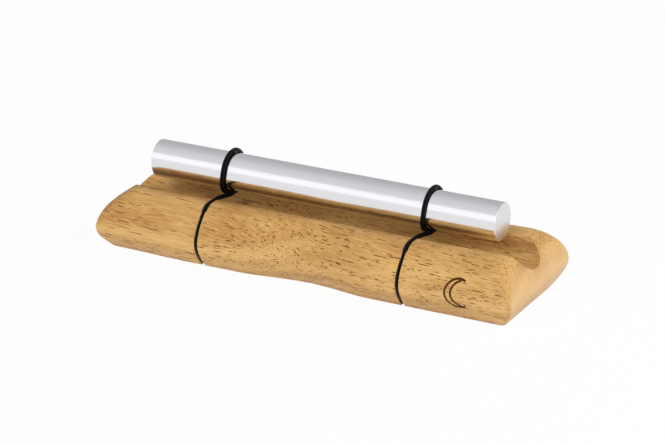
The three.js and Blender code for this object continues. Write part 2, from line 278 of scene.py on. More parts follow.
def shaped_blank():
    """The block before any cut, drawn up from its foot in rings, with rolled hips and a waist."""
    bpy.ops.mesh.primitive_plane_add(size=1)
    block = new_piece("resonator_block_wood")
    edit(block)
    foot_length = BLOCK_LENGTH - 2 * FOOT_INSET
    foot_width = BLOCK_WIDTH - 2 * FOOT_INSET
    bpy.ops.transform.resize(value=(foot_length, foot_width, 1), center_override=(0, 0, 0))
    bpy.ops.mesh.select_mode(type="FACE")
    rings = [bezier(LOWER_EDGE, i / LOWER_STEPS) for i in range(LOWER_STEPS)]
    rings += [bezier(UPPER_EDGE, i / UPPER_STEPS) for i in range(UPPER_STEPS + 1)]
    for (inset, height), (next_inset, next_height) in zip(rings, rings[1:]):
        bpy.ops.mesh.extrude_region_move(
            TRANSFORM_OT_translate={"value": (0, 0, next_height - height)}
        )
        wider = (BLOCK_LENGTH / 2 - next_inset) / (BLOCK_LENGTH / 2 - inset)
        deeper = (BLOCK_WIDTH / 2 - next_inset) / (BLOCK_WIDTH / 2 - inset)
        bpy.ops.transform.resize(value=(wider, deeper, 1), center_override=(0, 0, next_height))
    bpy.ops.mesh.select_all(action="SELECT")
    bpy.ops.mesh.normals_make_consistent(inside=False)

    for (_, low), (_, high) in zip(rings, rings[1:]):
        middle = (low + high) / 2
        radius = mix(FOOT_CORNER_RADIUS, CORNER_RADIUS, smoothstep(middle, 0, WIDEST_HEIGHT))
        radius = mix(radius, CROWN_CORNER_RADIUS, smoothstep(middle, WIDEST_HEIGHT, BLOCK_HEIGHT))
        pick_edges(block, lambda a, b: abs(a.z - b.z) > FINE and abs(a.z + b.z - 2 * middle) < FINE)
        bpy.ops.transform.edge_bevelweight(value=radius / CROWN_CORNER_RADIUS)
    done()
    add_modifier(
        block,
        "BEVEL",
        limit_method="WEIGHT",
        width=CROWN_CORNER_RADIUS,
        segments=CORNER_STEPS,
        use_clamp_overlap=False,
    )
    edit(block)
    pick_edges(block, lambda a, b: abs(a.x - b.x) > BLOCK_LENGTH / 2)
    bpy.ops.mesh.subdivide(number_cuts=SIDE_CUTS)
    for side in (-1, 1):
        pick(block, "VERT", lambda p: near(p.x, 0) and side * p.y > 0)
        bpy.ops.transform.translate(
            value=(0, -side * WAIST_DEPTH, 0),
            use_proportional_edit=True,
            proportional_edit_falloff="SMOOTH",
            proportional_size=WAIST_REACH,
        )
    done()
    sand_by_hand(block)
    return block


def sand_by_hand(block):
    """What hand sanding adds to the even blank, by a lattice."""
    bpy.ops.object.add(type="LATTICE", location=(0, 0, BLOCK_HEIGHT / 2))
    cage = new_piece("sanding_cage")
    cage.scale = (BLOCK_LENGTH, BLOCK_WIDTH, BLOCK_HEIGHT)
    grid = cage.data
    grid.points_u, grid.points_v, grid.points_w = CAGE_COLUMNS, 2, CAGE_LEVELS
    grid.interpolation_type_v = "KEY_LINEAR"
    grid.interpolation_type_w = "KEY_LINEAR"

    def nudge(column, level, outward, along=0, sides=(-1, 1)):
        for side in sides:
            row = 2 * level + (side + 1) // 2
            spot = grid.points[row * CAGE_COLUMNS + column].co_deform
            spot.x += along / BLOCK_LENGTH
            spot.y += side * outward / BLOCK_WIDTH

    # The foot goes in at the left end and under the waist
    for column, inward in FOOT_DRAWN_IN.items():
        nudge(column, 0, -inward)
    # The left end is fuller in its lower half, and the right foot runs out a little
    for level, along in enumerate(LEFT_END_FILLED):
        nudge(0, level, 0, along=-along)
    nudge(CAGE_COLUMNS - 1, 0, 0, along=RIGHT_FOOT_FILLED)
    # The rear shoulder is fuller at the right end
    for column, outward in REAR_SHOULDER_FILLED.items():
        for level in (CAGE_LEVELS - 2, CAGE_LEVELS - 1):
            nudge(column, level, outward, sides=(1,))
    add_modifier(block, "LATTICE", object=cage)
    bpy.data.objects.remove(cage)


def trough_cutter():
    """The round-nosed groove with its rolled lips, as one long bar."""
    sweep = math.pi / 2 - math.atan2(TROUGH_AXIS - LIP_HEIGHT, LIP_HALF)
    bpy.ops.mesh.primitive_plane_add(size=MM)
    cutter = new_piece("trough_cutter")
    edit(cutter)
    bpy.ops.mesh.select_mode(type="VERT")
    bpy.ops.mesh.merge(type="CENTER")
    bpy.ops.transform.translate(value=(-BLOCK_LENGTH, 0, TROUGH_AXIS - TROUGH_RADIUS))
    for steps, angle, y, z in (
        (TROUGH_STEPS, -sweep, 0, TROUGH_AXIS),
        (LIP_STEPS, sweep, LIP_HALF, LIP_HEIGHT),
    ):
        bpy.ops.mesh.spin(steps=steps, angle=angle, center=(0, y, z), axis=(1, 0, 0))
    bpy.ops.mesh.extrude_region_move(TRANSFORM_OT_translate={"value": (0, 0, BLOCK_HEIGHT)})
    done()
    add_modifier(cutter, "MIRROR", use_axis=(False, True, False), merge_threshold=HAIR)
    edit(cutter)
    pick(cutter, "VERT", lambda p: p.z > 1.5 * BLOCK_HEIGHT)
    bpy.ops.mesh.edge_face_add()
    bpy.ops.mesh.select_all(action="SELECT")
    bpy.ops.mesh.edge_face_add()
    bpy.ops.mesh.extrude_region_move(TRANSFORM_OT_translate={"value": (2 * BLOCK_LENGTH, 0, 0)})
    bpy.ops.mesh.select_all(action="SELECT")
    bpy.ops.mesh.normals_make_consistent(inside=False)
    done()
    return cutter


def kerf_cutter(blank, kerf, width, reach=None):
    """The blank's section at a kerf, inset to the depth of the cut and shallower over the crown.

    With a reach it keeps only what lies over the ridges, for the wider seats. They stay a hair
    shallower than the kerf."""
    cutter = copy_of(blank, "kerf_cutter")
    edit(cutter)
    bpy.ops.mesh.bisect(
        plane_co=(kerf - width / 2, 0, 0),
        plane_no=(1, 0, 0),
        clear_inner=True,
        clear_outer=True,
        threshold=FINE,
    )
    pick(cutter, "VERT", lambda p: FLOOR_SKIN < p.z < KERF_DEPTH)
    bpy.ops.mesh.dissolve_verts()
    bpy.ops.mesh.select_all(action="SELECT")
    bpy.ops.mesh.remove_doubles(threshold=SECTION_GAP)
    bpy.ops.mesh.edge_face_add()
    bpy.ops.mesh.inset(thickness=KERF_DEPTH, use_even_offset=True)
    bpy.ops.mesh.select_mode(type="VERT")
    bpy.ops.mesh.select_all(action="INVERT")
    middle = (kerf, 0, BLOCK_HEIGHT / 2)
    bpy.ops.transform.resize(value=KERF_OVERSHOOT, center_override=middle)
    bpy.ops.mesh.select_all(action="INVERT")
    bpy.ops.mesh.select_mode(type="FACE")
    bpy.ops.mesh.delete(type="ONLY_FACE")
    kerf_floor = BLOCK_HEIGHT - KERF_DEPTH
    flat = BLOCK_WIDTH / 2 - CROWN_INSET
    pick(cutter, "VERT", lambda p: near(p.z, kerf_floor) and abs(p.y) < flat + MM)
    bpy.ops.transform.translate(
        value=(0, 0, KERF_DEPTH - SEAT_DEPTH),
        use_proportional_edit=True,
        proportional_edit_falloff="SMOOTH",
        proportional_size=CROWN_EASE,
    )
    if reach:
        bpy.ops.mesh.select_all(action="SELECT")
        bpy.ops.transform.translate(value=(0, 0, SNUG))
        for place, outward in (
            ((0, -reach, 0), (0, -1, 0)),
            ((0, reach, 0), (0, 1, 0)),
            ((0, 0, WIDEST_HEIGHT), (0, 0, -1)),
        ):
            bpy.ops.mesh.select_all(action="SELECT")
            bpy.ops.mesh.bisect(plane_co=place, plane_no=outward, clear_outer=True, threshold=FINE)
    bpy.ops.mesh.select_all(action="SELECT")
    bpy.ops.mesh.extrude_region_move(TRANSFORM_OT_translate={"value": (width, 0, 0)})
    bpy.ops.mesh.select_all(action="SELECT")
    bpy.ops.mesh.normals_make_consistent(inside=False)
    done()
    return cutter


def pocket_cutter(kerf):
    """The round-ended pocket for a knot."""
    bpy.ops.mesh.primitive_cylinder_add(
        vertices=POCKET_SIDES,
        radius=POCKET_WIDTH / 2,
        depth=2 * POCKET_DEPTH,
        location=(kerf, 0, 0),
    )
    cutter = new_piece("pocket_cutter")
    settle(cutter)
    edit(cutter)
    for side in (-1, 1):
        pick(cutter, "VERT", lambda p: side * p.y > HAIR)
        bpy.ops.transform.translate(value=(0, side * (POCKET_LENGTH - POCKET_WIDTH) / 2, 0))
    done()
    return cutter


# Crescent sign, cut as an outline in the front flank
SIGN_MIDDLE = (85.4 * MM, 14.8 * MM)
SIGN_TILT = math.radians(5)
SIGN_STROKE = 1.05 * MM
SIGN_DEPTH = 0.3 * MM
SIGN_STEPS = 40
OUTER_ARC = (-0.4 * MM, 6.8 * MM, math.radians(120))
INNER_ARC = (1.85 * MM, 6.05 * MM, math.radians(82))


def sign_cutter(blank, arc):
    """One arc of the crescent: a ribbon laid on the flank, thickened to the depth of the cut.

    The arc is given as the shift of its centre, its radius and half of its sweep."""
    shift, radius, half_sweep = arc
    middle = Vector((SIGN_MIDDLE[0], -BLOCK_WIDTH, SIGN_MIDDLE[1]))
    centre = middle + shift * Vector((math.cos(SIGN_TILT), 0, math.sin(SIGN_TILT)))
    bpy.ops.mesh.primitive_plane_add(size=SIGN_STROKE)
    ribbon = new_piece("sign_cutter")
    edit(ribbon)
    pick(ribbon, "VERT", lambda p: p.y > 0)
    bpy.ops.mesh.delete(type="VERT")
    bpy.ops.mesh.select_all(action="SELECT")
    leftmost = centre - Vector((radius, 0, 0))
    bpy.ops.transform.translate(value=leftmost + Vector((0, SIGN_STROKE / 2, 0)))
    for turn in (SIGN_TILT - half_sweep, SIGN_TILT + half_sweep):
        pick(ribbon, "VERT", lambda p: near(p.z, centre.z) and p.x < centre.x)
        bpy.ops.mesh.spin(steps=SIGN_STEPS, angle=turn, center=centre, axis=(0, 1, 0))
    done()
    add_modifier(
        ribbon,
        "SHRINKWRAP",
        target=blank,
        wrap_method="PROJECT",
        use_project_y=True,
        use_positive_direction=True,
    )
    add_modifier(ribbon, "SOLIDIFY", thickness=2 * SIGN_DEPTH, offset=0)
    edit(ribbon)
    bpy.ops.mesh.normals_make_consistent(inside=False)
    done()
    return ribbon


# Chime bar

BAR_SIDES = 192
RIM_STEPS = 4


def turned_bar():
    """The round bar with its two rims rounded. Its end faces have a finish of their own."""
    bpy.ops.mesh.primitive_cylinder_add(
        vertices=BAR_SIDES,
        radius=BAR_RADIUS,
        depth=BAR_LENGTH,
        location=(BAR_OFFSET, 0, BAR_HEIGHT),
        rotation=(0, math.pi / 2, 0),
    )
    bar = new_piece("chime_bar_metal")
    settle(bar)
    bar.data.materials.append(bar_metal)
    bar.data.materials.append(bar_end_metal)
    edit(bar)
    for side in (-1, 1):
        end = BAR_OFFSET + side * BAR_LENGTH / 2
        pick(bar, "EDGE", lambda p: near(p.x, end))
        bpy.ops.mesh.bevel(offset=BAR_EDGE, segments=RIM_STEPS, affect="EDGES")
        pick(bar, "FACE", lambda p: near(p.x, end))
        bar.active_material_index = 1
        bpy.ops.object.material_slot_assign()
    done()
    return bar


# Elastic cords

CORD_SIDES = 16
RUN_STEPS = 20
RUN_SMOOTHING = 4
STRAND_STEPS = 24
TURN_STEPS = 72
LEG_STEPS = 6
BIGHT_STEPS = 8
STRETCHED_HALF_WIDTH = 0.98 * MM
STRETCH_TAPER = 0.15


def curve_through(points, steps):
    """Points on one smooth curve through the given ones, so many steps to each span."""
    before = 2 * points[0] - points[1]
    after = 2 * points[-1] - points[-2]
    ring = [before, *points, after]
    made = []
    for p0, p1, p2, p3 in zip(ring, ring[1:], ring[2:], ring[3:]):
        d0, d1, d2 = [math.sqrt((b - a).length) for a, b in ((p0, p1), (p1, p2), (p2, p3))]
        leave = ((p1 - p0) / d0 - (p2 - p0) / (d0 + d1) + (p2 - p1) / d1) * d1
        arrive = ((p2 - p1) / d1 - (p3 - p1) / (d1 + d2) + (p3 - p2) / d2) * d1
        square = 3 * (p2 - p1) - 2 * leave - arrive
        cube = 2 * (p1 - p2) + leave + arrive
        for i in range(steps):
            t = i / steps
            made.append(p1 + leave * t + square * t**2 + cube * t**3)
    return [*made, points[-1].copy()]


def cord_tube(name, stations, steps):
    """A tube along stations of (place, half width, half height), so many steps to each span.

    Its UV map counts one turn round it, and metres along it."""
    places = [Vector(station[0]) for station in stations]
    if steps > 1:
        places = curve_through(places, steps)
    last = len(places) - 1
    corners = []
    reach = [0.0]
    side = Vector((1, 0, 0))
    for i, place in enumerate(places):
        along = (places[min(last, i + 1)] - places[max(0, i - 1)]).normalized()
        side = (side - along * side.dot(along)).normalized()
        up = along.cross(side)
        low = min(len(stations) - 2, i // steps)
        share = i / steps - low
        half_width = mix(stations[low][1], stations[low + 1][1], share)
        half_height = mix(stations[low][2], stations[low + 1][2], share)
        for k in range(CORD_SIDES):
            turn = 2 * math.pi * k / CORD_SIDES
            across = side * half_width * math.cos(turn)
            corners.append(place + across + up * half_height * math.sin(turn))
        if i:
            reach.append(reach[-1] + (place - places[i - 1]).length)
    faces = []
    spread = []
    for i in range(last):
        for k in range(CORD_SIDES):
            after = (k + 1) % CORD_SIDES
            low, high = i * CORD_SIDES, (i + 1) * CORD_SIDES
            faces.append((low + k, low + after, high + after, high + k))
            left, right = k / CORD_SIDES, (k + 1) / CORD_SIDES
            spread += [(left, reach[i]), (right, reach[i])]
            spread += [(right, reach[i + 1]), (left, reach[i + 1])]
    for ring, order in ((0, range(CORD_SIDES - 1, -1, -1)), (last, range(CORD_SIDES))):
        faces.append([ring * CORD_SIDES + k for k in order])
        spread += [(k / CORD_SIDES, reach[ring]) for k in order]
    mesh = bpy.data.meshes.new(name)
    mesh.from_pydata(corners, [], faces)
    flat = [value for uv in spread for value in uv]
    mesh.uv_layers.new(name="along").data.foreach_set("uv", flat)
    mesh.materials.append(elastic_black)
    tube = bpy.data.objects.new(name, mesh)
    bpy.context.scene.collection.objects.link(tube)
    return tube


def section_at(share):
    """Point (y, z) and inward direction on the block's half section: foot 0, flank 1, crown 2."""
    corners = LOWER_EDGE if share < 1 else UPPER_EDGE
    along = share if share < 1 else share - 1
    step = 1e-4
    low = bezier(corners, max(0, along - step))
    high = bezier(corners, min(1, along + step))
    heading = Vector((high[0] - low[0], high[1] - low[1])).normalized()
    inset, height = bezier(corners, along)
    return Vector((BLOCK_WIDTH / 2 - inset, height)), Vector((-heading.y, -heading.x))


def cord_lift(share):
    """How far the cord has risen from its kerf, 0 on the flank, to its seat on the crown, 1."""
    return smoothstep(share - 1, CORD_LIFTS, CORD_SEATED)


def cord_halves(round_share, diameter=CORD_DIAMETER):
    """Half width and half height of the cord, flattened in a kerf at 0 and round at 1."""
    return (
        mix(CORD_KERF_WIDTH, diameter, round_share) / 2,
        mix(CORD_KERF_HEIGHT, diameter, round_share) / 2,
    )


def knot_half(kerf, front):
    """Half of a reef knot: leg, bight and tail. The rear half dives where the front one climbs."""

    def place(along, across):
        held = min(KNOT_HALF_LENGTH, max(-KNOT_HALF_LENGTH, along))
        rise = -KNOT_RISE * math.cos(math.pi * held / KNOT_HALF_LENGTH)
        return kerf + across, front * along, POCKET_DEPTH / 2 - front * rise

    leg_end = KNOT_HALF_LENGTH / 2
    leg = []
    for i in range(LEG_STEPS + 1):
        along = mix(-KNOT_HALF_LENGTH - KNOT_LEAD, leg_end, i / LEG_STEPS)
        across = mix(KNOT_LEG, KNOT_BIGHT, smoothstep(along, -KNOT_HALF_LENGTH, leg_end))
        leg.append((along, across))
    bight = []
    for i in range(1, BIGHT_STEPS):
        turn = math.pi * i / BIGHT_STEPS
        bight.append((leg_end + KNOT_TIP * math.sin(turn), KNOT_BIGHT * math.cos(turn)))
    back = [(along, -across) for along, across in reversed(leg)]
    tail = [(-KNOT_HALF_LENGTH - KNOT_TAIL, -KNOT_LEG)]
    return [place(*p) for p in leg + bight + back + tail]


def cord_run(kerf, front):
    """The cord from one ridge down its flank and under the block, into its half of the knot."""
    route = [((kerf, -front * RIDGE_EDGE, SEAT_HEIGHT), *cord_halves(1))]
    for i in range(RUN_STEPS + 1):
        share = 2 - 2 * i / RUN_STEPS
        at, inward = section_at(share)
        at += inward * mix(KERF_RIDE, SEAT_DROP, cord_lift(share))
        if at.y > KERF_RIDE + CORD_RADIUS:
            route.append(((kerf, -front * at.x, at.y), *cord_halves(cord_lift(share))))
    foot = abs(route[-1][0][1]) - CORD_DIAMETER
    pocket = POCKET_LENGTH / 2
    for y in (foot, foot - CORD_DIAMETER, (foot + pocket) / 2, pocket):
        route.append(((kerf, -front * y, KERF_RIDE), *cord_halves(0)))
    route += [(place, *cord_halves(1, KNOT_CORD)) for place in knot_half(kerf, front)]
    return route


def cord_strand(kerf, front):
    """The free strand from a ridge to the turn under the bar."""
    turn_x = kerf + LOOP_SHIFT + front * LOOP_PITCH / 2
    route = []
    for i in range(STRAND_STEPS + 1):
        y = mix(RIDGE_EDGE, 0, i / STRAND_STEPS)
        lean = 1 - smoothstep(y, LEAN_ENDS, LEAN_STARTS)
        place = (mix(kerf, turn_x, lean), -front * y, mix(SEAT_HEIGHT, STRAND_HEIGHT, lean))
        route.append((place, *cord_halves(1)))
    return route


def cord_turn(kerf):
    """One turn round the bar, from under it up behind, over the top and down in front."""
    start = kerf + LOOP_SHIFT + LOOP_PITCH / 2
    route = []
    for i in range(TURN_STEPS + 1):
        share = i / TURN_STEPS
        turn = 2 * math.pi * share
        behind = smoothstep(share, 0, REAR_STEP_ENDS)
        before = smoothstep(share, FRONT_STEP_STARTS, FRONT_STEP_ENDS)
        x = start - LOOP_PITCH * mix(before, behind, REAR_STEP)
        place = (x, LOOP_RADIUS * math.sin(turn), BAR_HEIGHT - LOOP_RADIUS * math.cos(turn))
        stretched = smoothstep(share, 0, STRETCH_TAPER) * smoothstep(share, 1, 1 - STRETCH_TAPER)
        route.append((place, mix(CORD_RADIUS, STRETCHED_HALF_WIDTH, stretched), CORD_RADIUS))
    return route


# Materials

def node(tree, kind, sockets=None, **settings):
    """Adds a shader node: settings go on the node, its sockets take a value or a link."""
    made = tree.nodes.new("ShaderNode" + kind)
    for name, value in settings.items():
        setattr(made, name, value)
    for name, value in (sockets or {}).items():
        if isinstance(value, bpy.types.NodeSocket):
            tree.links.new(value, made.inputs[name])
        else:
            made.inputs[name].default_value = value
    return made


def maths(tree, operation, *values):
    made = node(tree, "Math", dict(enumerate(values)), operation=operation)
    return made.outputs[0]


def smooth_range(tree, value, low, high, to_low=0.0, to_high=1.0):
    sockets = {
        "Value": value,
        "From Min": low,
        "From Max": high,
        "To Min": to_low,
        "To Max": to_high,
    }
    return node(tree, "MapRange", sockets, interpolation_type="SMOOTHSTEP").outputs[0]


def times(tree, vector, factors):
    """A vector with each axis times its own factor."""
    return node(tree, "VectorMath", {0: vector, 1: factors}, operation="MULTIPLY").outputs[0]


def noise(tree, place, detail, roughness=0.5, **settings):
    sockets = {"Vector": place, "Scale": 1.0, "Detail": detail, "Roughness": roughness}
    return node(tree, "TexNoise", sockets, **settings).outputs


def wander(tree, spot, lengths):
    """Three numbers that wander over the given lengths."""
    colour = noise(tree, times(tree, spot, [1 / length for length in lengths]), 1.0)["Color"]
    return node(tree, "SeparateXYZ", {0: colour}).outputs


def blend_colours(tree, share, low, high):
    return node(tree, "Mix", {0: share, 6: low, 7: high}, data_type="RGBA").outputs[2]


def linear(red, green, blue):
    """A colour written in 0 to 255 as on a screen, as the shader wants it."""
    def one(level):
        level /= 255
        return level / 12.92 if level <= 0.04045 else ((level + 0.055) / 1.055) ** 2.4
    return one(red), one(green), one(blue), 1.0


def bump(tree, surface, height, strength, distance):
    made = node(tree, "Bump", {"Height": height, "Strength": strength, "Distance": distance})
    tree.links.new(made.outputs[0], surface.inputs["Normal"])


def new_material(name):
    material = bpy.data.materials.new(name)
    material.use_nodes = True
    tree = material.node_tree
    return material, tree, tree.nodes["Principled BSDF"]


# Timber: lengths in millimetres, colours in 0 to 255 as on a screen
DRIFT_LENGTHS = (60, 24, 24)
DRIFT = 5.0
RIPPLE_LENGTHS = (8, 5, 5)
RIPPLE = 0.9
DIVE_PLACE = -10.0
DIVE_REACH = 28.0
DIVE = 7.0
SLANT_ACROSS = 0.04
SLANT_UP = 0.03
HEART = (30.0, -70.0, 0.0)
RING_WIDTH = 8.5
PORES_PER_MM = 1.3
PORE_LEAST_WIDTH = 0.18
PORE_MORE_WIDTH = 0.16
DASH_LEAST_LENGTH = 1.6
DASH_MORE_LENGTH = 4.0
FIBRE_LENGTH = 9.0
FIBRES_PER_MM = 1.6
CLOUD_LENGTHS = (35, 12, 12)
PALE_WOOD = (229, 188, 122)
MIDDLE_WOOD = (209, 166, 100)
DARK_WOOD = (174, 124, 62)
END_WOOD_AND_SHEEN = (212, 176, 128)
PORE_STAIN = (84, 43, 3)
CHAR = (66, 29, 1)


def timber_group():
    """Oily hardwood: fibres and long pores along X that dive at the waist, and wide faint rings."""
    tree = bpy.data.node_groups.new("timber", "ShaderNodeTree")
    number, colour = "NodeSocketFloat", "NodeSocketColor"
    for name, kind in (("Colour", colour), ("Pores", number), ("Height", number)):
        tree.interface.new_socket(name, in_out="OUTPUT", socket_type=kind)
    ends = tree.nodes.new("NodeGroupOutput")

    spot = node(tree, "TexCoord").outputs["Object"]
    spot = node(tree, "VectorMath", {0: spot, "Scale": 1 / MM}, operation="SCALE").outputs[0]
    x, y, z = node(tree, "SeparateXYZ", {0: spot}).outputs

    # The grain drifts slowly, ripples a little, and dives through the waist
    drift = wander(tree, spot, DRIFT_LENGTHS)
    ripple = wander(tree, spot, RIPPLE_LENGTHS)
    dive = maths(tree, "DIVIDE", maths(tree, "SUBTRACT", x, DIVE_PLACE), DIVE_REACH)
    dive = maths(tree, "TANH", dive)
    across = maths(tree, "MULTIPLY_ADD", dive, DIVE, y)
    across = maths(tree, "MULTIPLY_ADD", x, SLANT_ACROSS, across)
    across = maths(tree, "MULTIPLY_ADD", drift[0], DRIFT, across)
    across = maths(tree, "MULTIPLY_ADD", ripple[0], RIPPLE, across)
    upward = maths(tree, "MULTIPLY_ADD", x, SLANT_UP, z)
    upward = maths(tree, "MULTIPLY_ADD", drift[1], DRIFT, upward)
    upward = maths(tree, "MULTIPLY_ADD", ripple[1], RIPPLE, upward)
    section = node(tree, "CombineXYZ", {0: across, 1: upward}).outputs[0]

    # Rings about a heart below and behind the block
    heart = node(tree, "VectorMath", {0: section, 1: HEART}, operation="DISTANCE")
    ring = maths(tree, "MULTIPLY", heart.outputs["Value"], 2 * math.pi / RING_WIDTH)
    ring = smooth_range(tree, maths(tree, "SINE", ring), -1.0, 1.0)

    # Pores: long tubes, cut open as streaks or dots where they meet the surface
    sockets = {"Vector": section, "Scale": PORES_PER_MM}
    cells = node(tree, "TexVoronoi", sockets, voronoi_dimensions="2D", feature="F1").outputs
    kind = node(tree, "SeparateColor", {0: cells["Color"]}).outputs
    crowd = smooth_range(tree, x, -75.0, -35.0, 0.5, 0.85)
    crowd = maths(tree, "MULTIPLY_ADD", ring, 0.3, crowd)
    open_here = smooth_range(tree, maths(tree, "SUBTRACT", crowd, kind[0]), -0.03, 0.03)
    width = maths(tree, "MULTIPLY_ADD", kind[1], PORE_MORE_WIDTH, PORE_LEAST_WIDTH)
    pores = smooth_range(tree, maths(tree, "DIVIDE", cells["Distance"], width), 1.25, 0.6)

    # Each pore is seen in dashes of its own length, longer at the left end
    length = maths(tree, "MULTIPLY_ADD", kind[1], DASH_MORE_LENGTH, DASH_LEAST_LENGTH)
    length = maths(tree, "MULTIPLY", length, smooth_range(tree, x, -70.0, -40.0, 1.9, 1.0))
    along = maths(tree, "DIVIDE", x, length)
    apart = maths(tree, "MULTIPLY", kind[2], 90.0)
    dash = node(tree, "CombineXYZ", {0: along, 1: apart}).outputs[0]
    dash = noise(tree, dash, 1.0, noise_dimensions="2D")[0]
    open_here = maths(tree, "MULTIPLY", open_here, smooth_range(tree, dash, 0.52, 0.60))
    pores = maths(tree, "MULTIPLY", pores, open_here)

    # Fibres, fine and drawn out along the grain, and clouds
    along = maths(tree, "DIVIDE", x, FIBRE_LENGTH)
    aside = [maths(tree, "MULTIPLY", axis, FIBRES_PER_MM) for axis in (across, upward)]
    fibre = node(tree, "CombineXYZ", {0: along, 1: aside[0], 2: aside[1]}).outputs[0]
    fibre = noise(tree, fibre, 4.0, roughness=0.6)[0]
    cloud = times(tree, spot, [1 / length for length in CLOUD_LENGTHS])
    cloud = noise(tree, cloud, 2.0)[0]

    # Painted shade: the top is darker than the foot, most of all at the left, and darker still in
    # the groove's right end, where the bar shades it
    tone = maths(tree, "MULTIPLY_ADD", ring, 0.1, maths(tree, "MULTIPLY", fibre, 0.83))
    tone = maths(tree, "MULTIPLY_ADD", cloud, 0.45, tone)
    deeper = smooth_range(tree, x, 70.0, -80.0, 0.05, 0.18)
    trough_shade_mask = smooth_range(tree, maths(tree, "ABSOLUTE", y), 14.0, 10.0)
    trough_shade_right = smooth_range(tree, x, 10.0, 80.0, 0.0, 0.14)
    deeper = maths(tree, "MULTIPLY_ADD", trough_shade_mask, trough_shade_right, deeper)
    tone = maths(tree, "MULTIPLY_ADD", smooth_range(tree, z, 12.0, 24.0), deeper, tone)
    ramp = node(tree, "ValToRGB", {0: tone})
    stops = ramp.color_ramp.elements
    stops[0].position, stops[0].color = 0.42, linear(*PALE_WOOD)
    stops[1].position, stops[1].color = 0.95, linear(*DARK_WOOD)
    stops.new(0.68).color = linear(*MIDDLE_WOOD)

    # End grain is paler, partly by its own tone and partly by a painted sheen, and shows few pores
    normal = node(tree, "NewGeometry").outputs["Normal"]
    facing = node(tree, "SeparateXYZ", {0: normal}).outputs[0]
    end_grain = smooth_range(tree, maths(tree, "ABSOLUTE", facing), 0.6, 0.95)
    share = maths(tree, "MULTIPLY", end_grain, 0.6)
    pale = blend_colours(tree, share, ramp.outputs[0], linear(*END_WOOD_AND_SHEEN))
    pores = maths(tree, "MULTIPLY", pores, smooth_range(tree, end_grain, 0.0, 1.0, 1.0, 0.2))
    share = maths(tree, "MULTIPLY", pores, 0.95)
    stained = blend_colours(tree, share, pale, linear(*PORE_STAIN))
    height = maths(tree, "MULTIPLY_ADD", fibre, 0.15, maths(tree, "MULTIPLY", pores, -1.0))
    for name, value in (("Colour", stained), ("Pores", pores), ("Height", height)):
        tree.links.new(value, ends.inputs[name])
    return tree


timber = timber_group()
GRAIN_DEPTH = 0.12 * MM


def waxed_wood():
    material, tree, surface = new_material("waxed_wood")
    grain = node(tree, "Group", node_tree=timber).outputs
    tree.links.new(grain["Colour"], surface.inputs["Base Color"])
    rough = smooth_range(tree, grain["Pores"], 0.0, 1.0, 0.46, 0.9)
    tree.links.new(rough, surface.inputs["Roughness"])
    bump(tree, surface, grain["Height"], 0.5, GRAIN_DEPTH)
    return material


def burnt_wood():
    material, tree, surface = new_material("burnt_wood")
    grain = node(tree, "Group", node_tree=timber).outputs
    char = blend_colours(tree, 0.94, grain["Colour"], linear(*CHAR))
    tree.links.new(char, surface.inputs["Base Color"])
    surface.inputs["Roughness"].default_value = 0.75
    surface.inputs["Specular IOR Level"].default_value = 0.2
    bump(tree, surface, grain["Height"], 0.6, GRAIN_DEPTH)
    return material


LINE_STRETCH = (12, 1700, 1700)
RINGS_PER_MM = 5.0
LINE_DEPTH = 0.02 * MM


def polish_group():
    """Fine lines of polished metal: drawn along the bar, or turned in rings where Rings is 1."""
    tree = bpy.data.node_groups.new("polish_lines", "ShaderNodeTree")
    number, colour = "NodeSocketFloat", "NodeSocketColor"
    for name, kind in (("Rings", number), ("Tint", colour), ("Smooth", number), ("Rough", number)):
        tree.interface.new_socket(name, in_out="INPUT", socket_type=kind)
    for name, kind in (("Colour", colour), ("Roughness", number), ("Height", number)):
        tree.interface.new_socket(name, in_out="OUTPUT", socket_type=kind)
    given = tree.nodes.new("NodeGroupInput").outputs
    ends = tree.nodes.new("NodeGroupOutput")

    spot = node(tree, "TexCoord").outputs["Object"]
    lowered = {0: spot, 1: (0, 0, -BAR_HEIGHT)}
    spot = node(tree, "VectorMath", lowered, operation="ADD").outputs[0]
    drawn = times(tree, spot, LINE_STRETCH)
    flat = times(tree, spot, (0, 1 / MM, 1 / MM))
    radius = node(tree, "VectorMath", {0: flat}, operation="LENGTH").outputs["Value"]
    radius = maths(tree, "MULTIPLY", radius, RINGS_PER_MM)
    turned = node(tree, "CombineXYZ", {0: radius}).outputs[0]
    sockets = {0: given["Rings"], 4: drawn, 5: turned}
    place = node(tree, "Mix", sockets, data_type="VECTOR").outputs[1]
    line = noise(tree, place, 3.0)[0]
    shaded = {0: given["Tint"], "Scale": maths(tree, "MULTIPLY_ADD", line, 0.06, 0.94)}
    tint = node(tree, "VectorMath", shaded, operation="SCALE").outputs[0]
    rough = smooth_range(tree, line, 0.3, 0.7, given["Smooth"], given["Rough"])
    for name, value in (("Colour", tint), ("Roughness", rough), ("Height", line)):
        tree.links.new(value, ends.inputs[name])
    return tree


polish = polish_group()


def polished_metal(name, **values):
    """Polished aluminium, with the values given to its lines."""
    material, tree, surface = new_material(name)
    lines = node(tree, "Group", values, node_tree=polish).outputs
    tree.links.new(lines["Colour"], surface.inputs["Base Color"])
    tree.links.new(lines["Roughness"], surface.inputs["Roughness"])
    surface.inputs["Metallic"].default_value = 1.0
    bump(tree, surface, lines["Height"], 0.06, LINE_DEPTH)
    return material


YARNS = 8.0
YARN_PITCH = 0.9 * MM
YARN_DEPTH = 0.25 * MM
YARN_GAP_SHADE = (1, 1, 2)
YARN_BLACK = (11, 11, 12)


